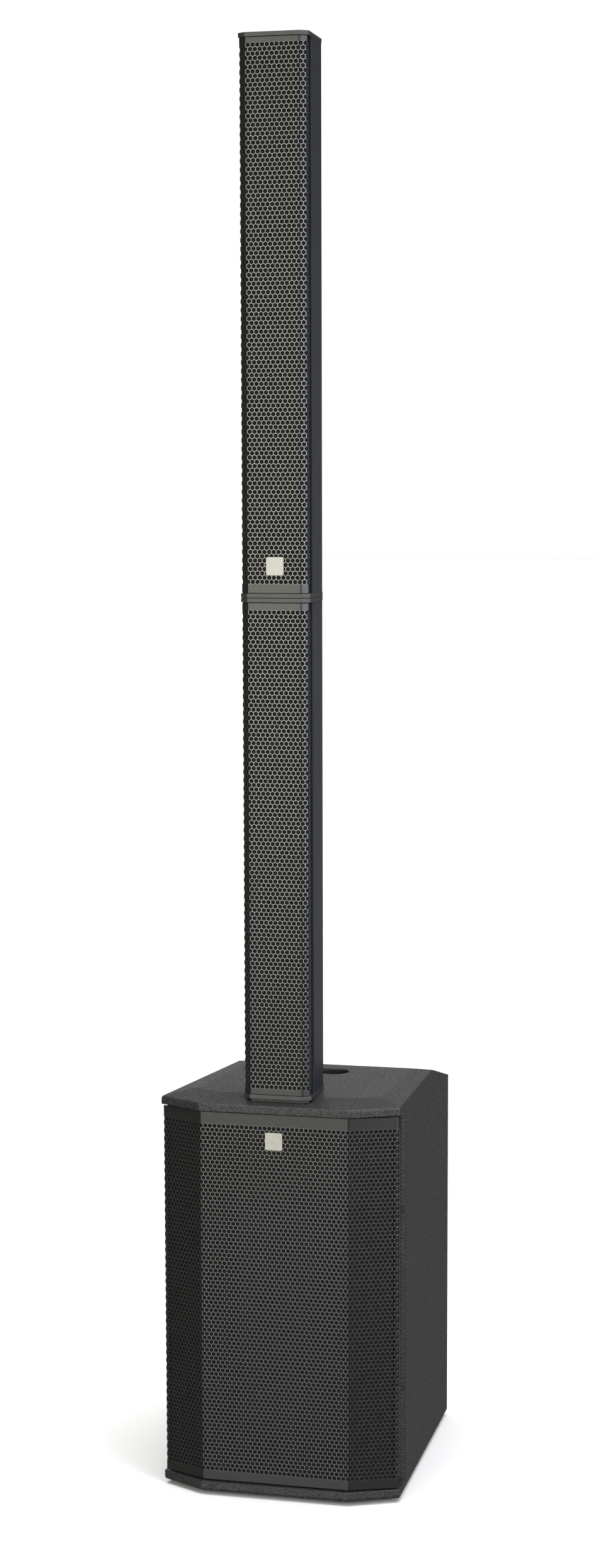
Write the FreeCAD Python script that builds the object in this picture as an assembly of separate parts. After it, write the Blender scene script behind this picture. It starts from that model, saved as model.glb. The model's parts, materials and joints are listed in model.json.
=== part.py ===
import FreeCAD, Part
import math
import os

# A column PA loudspeaker: a tapered wooden bass cabinet and two column elements plugged in on top of it.
# Millimetres, +Z up, origin on the floor under the middle of the cabinet. The front faces -Y.

V = FreeCAD.Vector
X_AXIS = V(1, 0, 0)
Y_AXIS = V(0, 1, 0)
Z_AXIS = V(0, 0, 1)
os.makedirs("parts", exist_ok=True)

# ---- driving dimensions: bass cabinet ----
CAB_DEPTH = 492.0
FRONT = -CAB_DEPTH / 2
REAR = CAB_DEPTH / 2
FOOT_H = 6.0
CAB_TOP = 576.4            # the flat middle of the top
LIP_TOP = 570.4            # upper edge of the top lip, all along the front
LIP_UNDER = 559.0          # underside of the top lip
BOTTOM_TOP = 20.0          # upper side of the bottom panel and its lip
LIP_CORNER_X = 108.5       # where the middle facet of the front meets a side facet
LIP_END_X = 175.5
LIP_END_DEPTH = 38.0
REAR_HALF_W = 136.6
TAPER = (LIP_END_X - REAR_HALF_W) / (CAB_DEPTH - LIP_END_DEPTH)
HIP_DEPTH = 59.3           # the front slope of the top ends this far back
HIP_X = 121.0              # a corner slope of the top meets the flat middle here
HIP_BACK = 13.0            # and this much further back than the front slope
SHOULDER_X = 133.0         # the flat middle of the top reaches this far out
SIDE_TOP = 571.5           # upper edge of a side wall, as far back as the rear slope
REAR_SLOPE_DEPTH = 309.7
REAR_SLOPE = 0.2277
PANEL = 15.0
EDGE_R = 5.0
LIP_R = 3.0                # rounding of the top's front and side edges
REAR_EDGE_R = 8.0
REBATE_IN = 6.5            # the side walls step in this much behind the grille's returns
REBATE_DEPTH = 86.0
REBATE_BEVEL = 5.0
WALL_START_DEPTH = 44.0    # the side walls begin behind the grille
BAFFLE_DEPTH = 62.0
REAR_BOARD_INSET = 25.0
HANDLE_Y = FRONT + 256.7
HANDLE_L = 81.0
HANDLE_W = 44.0
HANDLE_CUP_H = 48.0
HANDLE_WALL = 2.5
HANDLE_CUP_TOP = 570.0

# ---- driving dimensions: grilles ----
GRILLE_DEPTH = 6.7
GRILLE_CORNER_X = 107.8
GRILLE_END_X = 173.1
GRILLE_END_DEPTH = 39.1
GRILLE_T = 1.5
GRILLE_Z0 = 22.0
GRILLE_Z1 = 557.0
RETURN_Z0 = 38.0
RETURN_Z1 = 540.0
RETURN_END_DEPTH = 60.0
FOAM_T = 5.0
FOAM_GAP = 0.3
CLIP_ZS = (158.0, 415.5)   # small clips on the bevel of each side wall, behind the grille
CLIP_W = 4.2
CLIP_H = 11.5
CLIP_T = 0.8
CLIP_HOLE_R = 0.9
CLIP_HOLE_Z = 3.9
BADGE = 25.0
BADGE_T = 1.8
SUB_BADGE_Z = 519.4

# ---- driving dimensions: woofer and ports ----
WOOFER_Z = 345.0
WOOFER_FLANGE_R = 153.0
WOOFER_HOLE_R = 141.0
WOOFER_FLANGE_T = 6.0
WOOFER_BOLT_R = 147.0
WOOFER_BOLTS = 8
CONE_RIM = (122.5, -3.0)   # radius and y offset of the woofer cone's front edge
CONE_NECK = (39.3, 50.6)
PORT_R = 32.0
PORT_WALL = 3.0
PORT_X = 85.0
PORT_Z = 100.0
PORT_L = 130.0

# ---- driving dimensions: column ----
COL_FRONT_DEPTH = 18.8     # front of the end caps
COL_CORNER_X = 38.5
COL_END_X = 49.8
COL_END_DEPTH = 27.0
COL_REAR_X = 42.4
COL_REAR_DEPTH = 116.7
COL_TAPER = (COL_END_X - COL_REAR_X) / (COL_REAR_DEPTH - COL_END_DEPTH)
CAP_T = 6.0
CAP_GAP = 0.8              # dark line between a cap and the grille
HOUSING_INSET = 0.3
HOUSING_WALL = 2.5
HOUSING_FRONT_DEPTH = 48.0
COL_GRILLE_T = 1.2
COL_GRILLE_DEPTH = 19.2
COL_GRILLE_CORNER_X = 37.5
COL_GRILLE_END_X = 47.8
COL_GRILLE_END_DEPTH = 25.6
COL_GRILLE_BACK_X = 45.2
COL_BAND = 9.0             # plain band at each end of a column grille
COL_BAFFLE_DEPTH = 46.0
COL_BAFFLE_T = 2.0
LOWER_Z0 = 576.7
LOWER_Z1 = 1275.3
UPPER_Z0 = 1275.6
UPPER_Z1 = 2028.0
COL_BADGE_X = 1.6
COL_BADGE_Z = 1318.9
MID_PITCH = 84.0
MID_FRAME_R = 37.0
MID_HOLE_R = 33.0
MIDS = 6
HORN_H = 110.0
HORN_W = 66.0
HORN_DEPTH = 34.0

# ---- driving dimensions: plugs and sockets of the column ----
PLUG_Y = FRONT + 99.0
PLUG_W = 50.0
PLUG_D = 22.0
PLUG_L = 34.0
SOCKET_CLEAR = 0.5
SOCKET_WALL = 2.5
DOCK_T = 5.0
DOCK_INSET = 4.0
PIN_R = 4.0
PIN_X = 30.0
PIN_Y = FRONT + 58.0
PIN_L = 13.0
PIN_CLEAR = 0.3
BLADES = 4
BLADE_PITCH = 9.0

# ---- driving dimensions: amplifier ----
AMP_W = 200.0
AMP_Z0 = 140.0
AMP_Z1 = 460.0
AMP_T = 2.5
AMP_FACE = REAR - REAR_BOARD_INSET + AMP_T
CUT_W = 184.0
CUT_MARGIN = 8.0
CHASSIS_DEPTH = 66.0
CHASSIS_WALL = 1.2
KNOB_Z = 348.0
KNOB_XS = (-66.0, -22.0, 22.0, 66.0)
KNOB_NAMES = ("knob_input_a", "knob_input_b", "knob_bass_level", "knob_master")
KNOB_R = 9.5
KNOB_H = 15.0
KNOB_GAP = 0.4
KNOB_FLUTES = 18
SHAFT_R = 3.0
SHAFT_CLEAR = 0.4
JACK_Z = 292.0
JACK_XS = (-66.0, -22.0)
JACK_FLANGE_W = 26.0
JACK_FLANGE_H = 31.0
JACK_BARREL_R = 11.5
JACK_BORE_R = 3.3
JACK_DEEP = 28.0
JACK_PINS = ((-6.6, 0.6), (6.6, 0.6), (0.0, -5.94))
LATCH_W = 9.0
LATCH_H = 5.0
LATCH_OUT = 5.0
LATCH_Z = JACK_Z + JACK_FLANGE_H / 2 - 3.4
SMALL_JACKS = ((24.0, 300.0, 3.3), (24.0, 276.0, 1.8))
PAIR_X = 66.0
PAIR_Z = 292.0
PAIR_R = 5.0
INLET_X = -52.0
INLET_Z = 190.0
INLET_W = 27.0
INLET_H = 47.0
SWITCH_X = 20.0
SWITCH_Z = 190.0
SWITCH_W = 19.0
SWITCH_H = 28.0
ROCKER_TILT = 12.0
SINK_W = 170.0
SINK_Z0 = 385.0
SINK_Z1 = 447.0
SINK_T = 17.0
SINK_FINS = 15


# ---- helpers ----
def depth(d):
    """Y of a point d behind the front of the lips."""
    return FRONT + d


def side_x(y):
    """Half width of the cabinet at y."""
    return LIP_END_X - TAPER * (y - depth(LIP_END_DEPTH))


def col_side_x(y):
    """Half width of the column's caps at y."""
    return COL_END_X - COL_TAPER * (y - depth(COL_END_DEPTH))


def polygon(points):
    return Part.Face(Part.makePolygon(points + points[:1]))


def prism(points, z0, z1):
    """A solid with an (x, y) outline between two heights."""
    return polygon([V(x, y, z0) for x, y in points]).extrude(V(0, 0, z1 - z0))


def profile_x(points, x0, x1):
    """A solid with a (y, z) outline between two x values."""
    return polygon([V(x0, y, z) for y, z in points]).extrude(V(x1 - x0, 0, 0))


def box(x0, x1, y0, y1, z0, z1):
    return Part.makeBox(x1 - x0, y1 - y0, z1 - z0, V(x0, y0, z0))


def block_y(x, z, w, h, y0, y1):
    """A block centred on (x, z) that runs along Y."""
    return box(x - w / 2, x + w / 2, y0, y1, z - h / 2, z + h / 2)


def rod(radius, x, z, y0, y1):
    """A cylinder along Y."""
    return Part.makeCylinder(radius, y1 - y0, V(x, y0, z), Y_AXIS)


def turned(points, x, y, z):
    """A solid of revolution about the Y direction through (x, y, z); points are (radius, y offset)."""
    face = polygon([V(r, dy, 0) for r, dy in points])
    solid = face.revolve(V(0, 0, 0), Y_AXIS, 360)
    solid.translate(V(x, y, z))
    return solid


def both_sides(shape):
    return shape.mirror(V(0, 0, 0), X_AXIS)


def mirrored(points):
    """Outline points on the +x side, with their mirror images added to close the outline."""
    return points + [(-x, y) for x, y in reversed(points)]


def rounded(shape, radius, wanted):
    """Fillets the edges that wanted(edge) picks."""
    return shape.makeFillet(radius, [e for e in shape.Edges if wanted(e)])


def is_along(edge, axis):
    a, b = (v.Point for v in edge.Vertexes) if len(edge.Vertexes) == 2 else (V(), V())
    span = b - a
    return span.Length > 0 and abs(span.normalize().dot(axis)) > 0.999


def fuse(shapes):
    return shapes[0].multiFuse(shapes[1:]).removeSplitter()


def group(shapes):
    return Part.makeCompound(shapes)


def below_plane(shape, a, b, c):
    """Cuts away what lies above the plane through three points."""
    normal = (b - a).cross(c - a).normalize()
    if normal.z < 0:
        normal = normal * -1
    block = Part.makeBox(2000, 2000, 400, V(-1000, -1000, 0))
    block.Placement = FreeCAD.Placement(a, FreeCAD.Rotation(Z_AXIS, normal)) * block.Placement
    return shape.cut(block)


def offset_path(points, inward):
    """An open (x, y) path of the +x side moved towards the inside, each corner on its bisector."""
    moved = []
    for i, (x, y) in enumerate(points):
        before = V(x - points[i - 1][0], y - points[i - 1][1], 0) if i else None
        after = V(points[i + 1][0] - x, points[i + 1][1] - y, 0) if i + 1 < len(points) else None
        normals = [V(-d.y, d.x, 0).normalize() for d in (before, after) if d]
        mean = sum(normals, V(0, 0, 0)).normalize()
        reach = inward / mean.dot(normals[0])
        moved.append((x + mean.x * reach, y + mean.y * reach))
    return moved


def folded_sheet(path, thickness, z0, z1):
    """A sheet folded along an open outer path, symmetric about x = 0 and starting on it."""
    inner = offset_path(path, thickness)
    inner[0] = (0.0, inner[0][1])
    right = prism(path + inner[::-1], z0, z1)
    return fuse([right, both_sides(right)])


def rounded_block(w, d, h, radius, x, y, z):
    """A block centred on (x, y) with rounded upright edges."""
    block = box(x - w / 2, x + w / 2, y - d / 2, y + d / 2, z, z + h)
    return rounded(block, radius, lambda e: is_along(e, Z_AXIS))


def save(name, shape):
    shape.exportStep("parts/%s.step" % name)


# ---- bass cabinet ----
def cabinet_block():
    """The outside of the cabinet as one solid block, before it is divided into panels."""
    plan = mirrored([(LIP_CORNER_X, FRONT), (LIP_END_X, depth(LIP_END_DEPTH)), (REAR_HALF_W, REAR)])
    block = prism(plan, FOOT_H, CAB_TOP)
    corner = V(LIP_CORNER_X, FRONT, LIP_TOP)
    end = V(LIP_END_X, depth(LIP_END_DEPTH), LIP_TOP)
    slope_y = depth(REAR_SLOPE_DEPTH)
    block = below_plane(block, corner, V(-LIP_CORNER_X, FRONT, LIP_TOP), V(0, depth(HIP_DEPTH), CAB_TOP))
    low = CAB_TOP - REAR_SLOPE * (REAR - slope_y)
    block = below_plane(block, V(0, slope_y, CAB_TOP), V(100, slope_y, CAB_TOP), V(0, REAR, low))
    side_end = V(side_x(slope_y), slope_y, SIDE_TOP)
    for sign in (1, -1):
        def place(p):
            return V(p.x * sign, p.y, p.z)
        hip = V(HIP_X, depth(HIP_DEPTH + HIP_BACK), CAB_TOP)
        block = below_plane(block, place(corner), place(end), place(hip))
        shoulder = V(SHOULDER_X, depth(REAR_SLOPE_DEPTH / 2), CAB_TOP)
        block = below_plane(block, place(end), place(side_end), place(shoulder))
    block = rounded(block, REAR_EDGE_R, is_rear_upright)
    block = rounded(block, EDGE_R, lambda e: e.BoundBox.ZMax < FOOT_H + 0.1)
    return rounded(block, LIP_R, is_lip_edge)


def is_rear_upright(edge):
    return edge.BoundBox.YMin > REAR - 0.1 and edge.BoundBox.ZLength > 300


def is_lip_edge(edge):
    """Picks the front edges of the top, and the upper edge of each side as far as the rear slope."""
    bb = edge.BoundBox
    level = LIP_TOP - 0.1 < bb.ZMin and bb.ZMax < SIDE_TOP + 0.1
    front = bb.YMax < depth(LIP_END_DEPTH + 1) and bb.ZLength < 0.1
    side = bb.YMax > 0 and abs(bb.XMax - bb.XMin) < LIP_END_X
    return level and (front or side)


def under_top():
    """Everything below the top panel's underside, which follows the rear slope."""
    y0 = FRONT - 50
    y1 = depth(REAR_SLOPE_DEPTH)
    y2 = REAR + 50
    low = LIP_UNDER - REAR_SLOPE * (y2 - y1)
    return profile_x([(y0, -50), (y0, LIP_UNDER), (y1, LIP_UNDER), (y2, low), (y2, -50)], -300, 300)


def dock_outline(inset):
    """The column's foot outline, drawn in by inset."""
    path = [(0.0, depth(COL_FRONT_DEPTH)), (COL_CORNER_X, depth(COL_FRONT_DEPTH)),
            (COL_END_X, depth(COL_END_DEPTH)), (COL_REAR_X, depth(COL_REAR_DEPTH)),
            (0.0, depth(COL_REAR_DEPTH))]
    inner = offset_path(path, inset)
    return mirrored(inner[1:-1])


def stadium(length, width, y, z0, z1):
    return rounded_block(length, width, z1 - z0, width / 2 - 0.05, 0, y, z0)


def pin_holes(z0, z1):
    return [Part.makeCylinder(PIN_R + PIN_CLEAR, z1 - z0, V(x, PIN_Y, z0)) for x in (-PIN_X, PIN_X)]


def socket_block(grow, z0, z1):
    return rounded_block(PLUG_W + 2 * grow, PLUG_D + 2 * grow, z1 - z0, 3 + grow, 0, PLUG_Y, z0)


def top_panel(block):
    panel = block.cut(under_top())
    grow = SOCKET_CLEAR + SOCKET_WALL
    cuts = [prism(dock_outline(DOCK_INSET), CAB_TOP - DOCK_T, CAB_TOP + 10),
            stadium(HANDLE_L, HANDLE_W, HANDLE_Y, LIP_UNDER - 5, CAB_TOP + 5),
            cup_outside(LIP_UNDER - 5),
            socket_block(grow, LIP_UNDER - 5, CAB_TOP)] + pin_holes(CAB_TOP - PIN_L - 2, CAB_TOP)
    for cut in cuts:
        panel = panel.cut(cut)
    return rounded(panel, 2.0, is_handle_mouth)


def is_handle_mouth(edge):
    bb = edge.BoundBox
    return bb.ZMin > CAB_TOP - 0.01 and abs(bb.Center.y - HANDLE_Y) < HANDLE_W and bb.XLength < HANDLE_L


def bottom_panel(block):
    return block.common(box(-300, 300, FRONT - 10, REAR + 10, 0, BOTTOM_TOP))


def between_panels(block):
    return block.common(under_top()).cut(box(-300, 300, FRONT - 10, REAR + 10, 0, BOTTOM_TOP))


def inner_line(y):
    return side_x(y) - PANEL


def side_wall_right(block):
    y0 = depth(WALL_START_DEPTH)
    wall = prism([(inner_line(y0), y0), (LIP_END_X + 5, y0), (LIP_END_X + 5, REAR + 5),
                  (inner_line(REAR + 5), REAR + 5)], BOTTOM_TOP, CAB_TOP).common(between_panels(block))
    y1 = depth(REBATE_DEPTH)
    y2 = y1 - REBATE_BEVEL
    step = prism([(side_x(y0) - REBATE_IN, y0 - 1), (side_x(y0) + 9, y0 - 1), (side_x(y1) + 9, y1),
                  (side_x(y1), y1), (side_x(y2) - REBATE_IN, y2)], BOTTOM_TOP - 1, LIP_UNDER + 1)
    return wall.cut(step)


def front_baffle():
    y0 = depth(BAFFLE_DEPTH)
    y1 = y0 + PANEL
    board = prism(mirrored([(inner_line(y0), y0), (inner_line(y1), y1)]), BOTTOM_TOP, LIP_UNDER)
    board = board.cut(rod(WOOFER_HOLE_R, 0, WOOFER_Z, y0 - 5, y1 + 5))
    for x in (-PORT_X, PORT_X):
        board = board.cut(rod(PORT_R + PORT_WALL, x, PORT_Z, y0 - 5, y1 + 5))
    for x, z in bolt_places(0, WOOFER_Z, WOOFER_BOLT_R, WOOFER_BOLTS):
        board = board.cut(rod(2.8, x, z, y0 - 5, y1 + 5))
    return board


def rear_board(block):
    y1 = REAR - REAR_BOARD_INSET
    y0 = y1 - PANEL
    board = prism(mirrored([(inner_line(y0), y0), (inner_line(y1), y1)]), BOTTOM_TOP, CAB_TOP)
    board = board.common(between_panels(block))
    board = board.cut(box(-CUT_W / 2, CUT_W / 2, y0 - 5, y1 + 5, AMP_Z0 + CUT_MARGIN, AMP_Z1 - CUT_MARGIN))
    for x, z in panel_screw_places():
        board = board.cut(rod(2.0, x, z, AMP_FACE - 11, y1 + 1))
    return board


def cup_outside(z0):
    grow = 2 * HANDLE_WALL
    return stadium(HANDLE_L + grow, HANDLE_W + grow, HANDLE_Y, z0, HANDLE_CUP_TOP)


def handle_cup():
    z0 = CAB_TOP - HANDLE_CUP_H
    return cup_outside(z0).cut(stadium(HANDLE_L, HANDLE_W, HANDLE_Y, z0 + HANDLE_WALL, CAB_TOP + 1))


def column_dock():
    """Plate under the column with the socket that its plug drops into."""
    plate = prism(dock_outline(DOCK_INSET), CAB_TOP - DOCK_T, CAB_TOP)
    grow = SOCKET_CLEAR + SOCKET_WALL
    bottom = LOWER_Z0 - PLUG_L - SOCKET_WALL - 2
    dock = fuse([plate, socket_block(grow, bottom, CAB_TOP)])
    dock = dock.cut(socket_block(SOCKET_CLEAR, bottom + SOCKET_WALL, CAB_TOP + 1))
    for hole in pin_holes(CAB_TOP - PIN_L - 2, CAB_TOP + 1):
        dock = dock.cut(hole)
    return dock


def sub_grille_path():
    return [(0.0, depth(GRILLE_DEPTH)), (GRILLE_CORNER_X, depth(GRILLE_DEPTH)),
            (GRILLE_END_X, depth(GRILLE_END_DEPTH))]


def sub_grille():
    front = folded_sheet(sub_grille_path(), GRILLE_T, GRILLE_Z0, GRILLE_Z1)
    y0 = depth(GRILLE_END_DEPTH)
    y1 = depth(RETURN_END_DEPTH)
    x1 = GRILLE_END_X - TAPER * (y1 - y0)
    y2 = y1 - GRILLE_T
    outline = [(GRILLE_END_X, y0), (x1, y1), (side_x(y1) - REBATE_IN, y1), (side_x(y2) - REBATE_IN, y2),
               (x1 - GRILLE_T, y2), (GRILLE_END_X - GRILLE_T, y0)]
    flange = prism(outline, RETURN_Z0, RETURN_Z1)
    return fuse([front, flange, both_sides(flange)])


def grille_foam():
    path = offset_path(sub_grille_path(), GRILLE_T + FOAM_GAP)
    path[0] = (0.0, path[0][1])
    short = path[2][0] - 6.0
    slope = (path[2][1] - path[1][1]) / (path[2][0] - path[1][0])
    path[2] = (short, path[1][1] + slope * (short - path[1][0]))
    return folded_sheet(path, FOAM_T, GRILLE_Z0 + 2, GRILLE_Z1 - 2)


def grille_clips():
    """Oblong clips on the bevels of the side walls, each with two small holes."""
    y1 = depth(REBATE_DEPTH)
    y2 = y1 - REBATE_BEVEL
    outer = V(side_x(y1), y1, 0)
    inner = V(side_x(y2) - REBATE_IN, y2, 0)
    turn = math.degrees(math.atan2(outer.y - inner.y, outer.x - inner.x))
    clips = []
    for z in CLIP_ZS:
        clip = block_y(0, z, CLIP_W, CLIP_H, -CLIP_T, 0)
        clip = rounded(clip, CLIP_W / 2 - 0.05, lambda e: is_along(e, Y_AXIS))
        for dz in (-CLIP_HOLE_Z, CLIP_HOLE_Z):
            clip = clip.cut(rod(CLIP_HOLE_R, 0, z + dz, -CLIP_T - 1, 1))
        clip.rotate(V(0, 0, 0), Z_AXIS, turn)
        clip.translate((outer + inner) * 0.5)
        clips += [clip, both_sides(clip)]
    return group(clips)


def badge(x, z, face_y):
    """A blank square badge with rounded corners and a softened face."""
    plate = box(x - BADGE / 2, x + BADGE / 2, face_y - BADGE_T, face_y, z - BADGE / 2, z + BADGE / 2)
    plate = rounded(plate, 2.4, lambda e: is_along(e, Y_AXIS))
    return rounded(plate, 0.5, lambda e: e.BoundBox.YMax < face_y - BADGE_T + 0.01)


# ---- woofer and ports ----
def woofer_basket(y):
    """Pressed frame: mounting flange, open conical frame and the seat of the magnet."""
    rim = [(WOOFER_FLANGE_R, -WOOFER_FLANGE_T), (WOOFER_FLANGE_R, 0), (139, 0), (92, 68), (92, 74),
           (40.5, 74), (40.5, 70), (83, 70), (83, 66.5), (88.3, 66.5), (134, -1.5), (134, -3),
           (143, -3), (143, -WOOFER_FLANGE_T)]
    frame = turned(rim, 0, y, WOOFER_Z)
    window = box(-28, 28, y + 14, y + 58, WOOFER_Z + 60, WOOFER_Z + 170)
    for i in range(6):
        cut = window.copy()
        cut.rotate(V(0, y, WOOFER_Z), Y_AXIS, 60 * i)
        frame = frame.cut(cut)
    for x, z in bolt_places(0, WOOFER_Z, WOOFER_BOLT_R, WOOFER_BOLTS):
        frame = frame.cut(rod(2.8, x, z, y - 10, y + 1))
    return frame


def bolt_places(x, z, radius, count):
    step = 2 * math.pi / count
    turns = [step * (i + 0.5) for i in range(count)]
    return [(x + radius * math.sin(a), z + radius * math.cos(a)) for a in turns]


def woofer_magnet(y):
    """Top plate, ring magnet and yoke with its pole, around the voice coil's gap."""
    profile = [(75, 74), (75, 80), (85, 80), (85, 108), (75, 108), (75, 116), (0, 116), (0, 78),
               (36, 78), (36, 108), (40.5, 108), (40.5, 74)]
    return turned(profile, 0, y, WOOFER_Z)


def woofer_cone(y):
    rim_r, rim_y = CONE_RIM
    profile = [(rim_r, rim_y), (rim_r + 1.5, rim_y), (rim_r + 1.5, rim_y + 1.5), (41.5, 52), (39.3, 52),
               CONE_NECK]
    return turned(profile, 0, y, WOOFER_Z)


def cone_front(radius):
    """Y offset of the cone's front face at a radius."""
    slope = (CONE_NECK[1] - CONE_RIM[1]) / (CONE_RIM[0] - CONE_NECK[0])
    return CONE_NECK[1] - slope * (radius - CONE_NECK[0])


def dust_cap(y):
    """Shallow dome glued to the front of the cone over the voice coil."""
    rim, rise, thick = 50.0, 10.0, 1.0
    seat = cone_front(rim)
    inner_rim = rim - 1.6
    outer = [(rim * t, seat - rise * (1 - t * t)) for t in (0, 0.25, 0.5, 0.75, 1)]
    inner_seat = cone_front(inner_rim)
    inner = [(inner_rim * t, inner_seat - (rise - thick) * (1 - t * t)) for t in (1, 0.75, 0.5, 0.25, 0)]
    return turned(outer + inner, 0, y, WOOFER_Z)


def voice_coil(y):
    return turned([(39.2, 50.8), (39.2, 98), (37.8, 98), (37.8, 50.8)], 0, y, WOOFER_Z)


def half_roll(inner_r, outer_r, base, crown, thick):
    """Section of a rubber surround: a flat glued lip each side and a half roll between."""
    mid = (inner_r + outer_r) / 2
    outer = Part.Arc(V(inner_r, base, 0), V(mid, base - crown, 0), V(outer_r, base, 0)).toShape()
    lip_out = V(outer_r - thick, base, 0)
    lip_in = V(inner_r + thick, base, 0)
    inner = Part.Arc(lip_out, V(mid, base - crown + thick, 0), lip_in).toShape()
    return Part.Face(Part.Wire([outer, Part.makeLine(V(outer_r, base, 0), lip_out), inner,
                                Part.makeLine(lip_in, V(inner_r, base, 0))]))


def woofer_surround(y):
    """Half-roll rubber ring: its outer lip sits on the basket, its inner lip on the cone."""
    ring = half_roll(124.2, 135.4, -3.8, 6.0, 1.2).revolve(V(0, 0, 0), Y_AXIS, 360)
    ring.translate(V(0, y, WOOFER_Z))
    outer_lip = turned([(134.2, -4.6), (142.5, -4.6), (142.5, -3.0), (134.2, -3.0)], 0, y, WOOFER_Z)
    inner_lip = turned([(121.5, -4.2), (125.4, -4.2), (125.4, -3.0), (121.5, -3.0)], 0, y, WOOFER_Z)
    return fuse([ring, outer_lip, inner_lip]).cut(woofer_cone(y))


def woofer_spider(y):
    """Corrugated centring disc between the voice coil and the basket's ledge."""
    waves = 4
    start, end, seat, thick, wave = 39.4, 88.0, 66.5, 0.8, 2.2
    step = (end - start) / (2 * waves)
    back = [(start + step * i, seat - (wave if i % 2 else 0)) for i in range(2 * waves + 1)]
    front = [(r, dy - thick) for r, dy in reversed(back)]
    return turned(back + front, 0, y, WOOFER_Z)


def bolts(places, head_r, shank_r, y_head, y_end):
    """Socket-head bolts along Y, one solid each."""
    made = []
    for x, z in places:
        head = rod(head_r, x, z, y_head - head_r * 0.9, y_head).cut(
            rod(head_r * 0.5, x, z, y_head - head_r, y_head - head_r * 0.4))
        made.append(fuse([head, rod(shank_r, x, z, y_head, y_end)]))
    return group(made)


def port_tubes():
    y0 = depth(BAFFLE_DEPTH)
    tubes = []
    for x in (-PORT_X, PORT_X):
        outside = rod(PORT_R + PORT_WALL, x, PORT_Z, y0, y0 + PORT_L)
        tubes.append(outside.cut(rod(PORT_R, x, PORT_Z, y0 - 1, y0 + PORT_L + 1)))
    return group(tubes)


def rubber_feet():
    foot = Part.makeCone(13, 15, FOOT_H, V(0, 0, 0))
    foot = foot.cut(Part.makeCylinder(4, 3, V(0, 0, 0)))
    places = [(x * side, y) for side in (1, -1) for x, y in ((125, depth(62)), (100, REAR - 45))]
    feet = []
    for x, y in places:
        one = foot.copy()
        one.translate(V(x, y, 0))
        feet.append(one)
    return group(feet)


# ---- column elements ----
def cap_plate(z0):
    plan = dock_outline(0.0)
    plate = prism(plan, z0, z0 + CAP_T)
    plate = rounded(plate, 1.5, lambda e: is_along(e, Z_AXIS))
    return rounded(plate, 0.6, lambda e: abs(e.BoundBox.ZLength) < 0.01)


def socket_cup(top):
    """A socket open upwards, hung under a cap whose upper side is at top."""
    bottom = top - PLUG_L - SOCKET_WALL - 2
    cup = socket_block(SOCKET_CLEAR + SOCKET_WALL, bottom, top - 1)
    return cup


def top_cap(z_top, with_socket):
    cap = cap_plate(z_top - CAP_T)
    if with_socket:
        cap = fuse([cap, socket_cup(z_top)])
        cap = cap.cut(socket_block(SOCKET_CLEAR, z_top - PLUG_L - 2, z_top + 1))
        for hole in pin_holes(z_top - PIN_L - 2, z_top + 1):
            cap = cap.cut(hole)
    return cap


def bottom_cap(z_bottom):
    cap = cap_plate(z_bottom)
    cap = cap.cut(socket_block(0, z_bottom - 1, z_bottom + CAP_T + 1))
    for x in (-PIN_X, PIN_X):
        cap = cap.cut(Part.makeCylinder(PIN_R, CAP_T + 2, V(x, PIN_Y, z_bottom - 1)))
    return cap


def column_plug(z_bottom):
    """The connector under an element, with slots for its contacts, and two guide pins."""
    tip = z_bottom - PLUG_L
    body = socket_block(0, tip, z_bottom + CAP_T)
    body = rounded(body, 1.0, lambda e: e.BoundBox.ZMax < tip + 0.01)
    for i in range(BLADES):
        x = (i - (BLADES - 1) / 2) * BLADE_PITCH
        body = body.cut(box(x - 1.2, x + 1.2, PLUG_Y - 7, PLUG_Y + 7, tip - 1, tip + 9))
    pins = [rounded(Part.makeCylinder(PIN_R, PIN_L + CAP_T, V(x, PIN_Y, z_bottom - PIN_L)), 1.5,
                    lambda e: e.BoundBox.ZMax < z_bottom - PIN_L + 0.01) for x in (-PIN_X, PIN_X)]
    return group([body] + pins)


def housing(z0, z1):
    """Extruded U: two tapered sides and the back."""
    y0 = depth(HOUSING_FRONT_DEPTH)
    y1 = depth(COL_REAR_DEPTH) - HOUSING_INSET
    outer = mirrored([(col_side_x(y0) - HOUSING_INSET, y0), (col_side_x(y1) - HOUSING_INSET, y1)])
    grow = HOUSING_INSET + HOUSING_WALL
    inner = mirrored([(col_side_x(y0) - grow, y0 - 5), (col_side_x(y1) - grow, y1 - HOUSING_WALL)])
    shell = prism(outer, z0, z1)
    shell = rounded(shell, 3.0, lambda e: is_along(e, Z_AXIS) and e.BoundBox.YMin > y1 - 1)
    shell = shell.cut(prism(inner, z0 - 1, z1 + 1))
    tips = [e for e in shell.Edges if is_along(e, Z_AXIS) and e.BoundBox.YMax < y0 + 0.1
            and abs(e.BoundBox.XMax) > abs(col_side_x(y0)) - HOUSING_INSET - 0.1]
    return shell.makeChamfer(1.2, tips)


def column_grille(z0, z1):
    """Folded grille. Between its plain end bands it is folded back once more, as far as the baffle."""
    path = [(0.0, depth(COL_GRILLE_DEPTH)), (COL_GRILLE_CORNER_X, depth(COL_GRILLE_DEPTH)),
            (COL_GRILLE_END_X, depth(COL_GRILLE_END_DEPTH)), (COL_GRILLE_BACK_X, depth(COL_BAFFLE_DEPTH))]
    sheet = folded_sheet(path, COL_GRILLE_T, z0 + COL_BAND, z1 - COL_BAND)
    bands = [folded_sheet(path[:3], COL_GRILLE_T, low, low + COL_BAND) for low in (z0, z1 - COL_BAND)]
    return fuse([sheet] + bands)


def mid_heights(z0, z1, with_horn):
    """Heights of the mid drivers, in two groups about the horn where there is one."""
    middle = (z0 + z1) / 2
    gap = (HORN_H + 12) if with_horn else 0.0
    half = MIDS // 2
    up = [middle + gap / 2 + MID_PITCH * (i + 0.5) for i in range(half)]
    return sorted(up + [2 * middle - z for z in up])


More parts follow.
